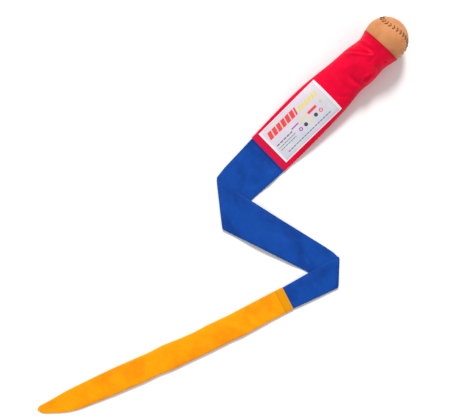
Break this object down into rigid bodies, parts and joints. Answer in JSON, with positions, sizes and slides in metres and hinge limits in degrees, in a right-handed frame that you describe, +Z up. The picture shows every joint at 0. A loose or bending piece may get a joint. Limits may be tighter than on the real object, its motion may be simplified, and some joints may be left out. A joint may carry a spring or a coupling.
{
  "type": "tailed throwing ball",
  "caption": "Stitched leather ball sewn into a long tapering nylon tube tail of coloured sections, lying flat with the tail folded over itself",
  "frame": {"origin": "under the middle of the object's box, on the surface that the toy lies on", "axes": "+Z up from the surface; +Y towards the ball's end of the layout; +X towards the ball's side, so the ball is at +X +Y and the tail's tip at -X -Y"},
  "size_m": [0.6052, 0.65, 0.0729],
  "materials": {
    "tan_leather": "smooth tan leather, semi-matt",
    "lacing_thread": "dark brown waxed thread",
    "cork_rubber": "cork and rubber pill",
    "yarn": "wound wool yarn",
    "red_nylon": "coated nylon taffeta, slight sheen",
    "blue_nylon": "coated nylon taffeta, slight sheen",
    "yellow_nylon": "coated nylon taffeta, slight sheen",
    "sewing_thread": "polyester sewing thread",
    "printed_label": "smooth printed fabric label"
  },
  "bodies": {
    "head": {"ball_core": "cork_rubber", "core_winding": "yarn", "cover_panel_a": "tan_leather", "cover_panel_b": "tan_leather", "cover_lacing": "lacing_thread", "mouth_thread": "sewing_thread", "red_collar": "red_nylon", "red_neck": "red_nylon"},
    "upper_tail": {"red_sleeve": "red_nylon", "red_side_thread": "sewing_thread", "label": "printed_label", "label_thread": "sewing_thread", "blue_upper_run": "blue_nylon", "first_fold_crease": "blue_nylon", "blue_upper_side_thread": "sewing_thread", "red_blue_joint_thread": "sewing_thread"},
    "middle_tail": {"blue_middle_run": "blue_nylon", "second_fold_crease": "blue_nylon", "blue_middle_side_thread": "sewing_thread"},
    "lower_tail": {"blue_lower_run": "blue_nylon", "blue_lower_side_thread": "sewing_thread", "blue_yellow_joint_thread": "sewing_thread", "yellow_cuff": "yellow_nylon", "yellow_bend": "yellow_nylon"},
    "tail_end": {"yellow_sleeve": "yellow_nylon", "yellow_side_thread": "sewing_thread", "tip_thread": "sewing_thread"}
  },
  "joints": [
    {"name": "neck_bend", "type": "hinge", "parent": "head", "child": "upper_tail", "pos_m": [0.22182, 0.24535, 0.02876], "axis": [-0.6984, 0.7157, 0], "range_deg": [-60, 60], "deforming": ["red_neck"]},
    {"name": "first_fold", "type": "hinge", "parent": "upper_tail", "child": "middle_tail", "pos_m": [-0.00277, 0.02619, 0.00215], "axis": [0.1149, -0.9934, 0], "range_deg": [0, 180], "deforming": ["first_fold_crease"]},
    {"name": "second_fold", "type": "hinge", "parent": "middle_tail", "child": "lower_tail", "pos_m": [0.19135, -0.09091, 0.00215], "axis": [0.0332, 0.9995, 0], "range_deg": [0, 180], "deforming": ["second_fold_crease"]},
    {"name": "yellow_bend", "type": "hinge", "parent": "lower_tail", "child": "tail_end", "pos_m": [0.07858, -0.14911, 0.00293], "axis": [-0.4587, 0.8886, 0], "range_deg": [-90, 90], "deforming": ["yellow_bend"]}
  ]
}
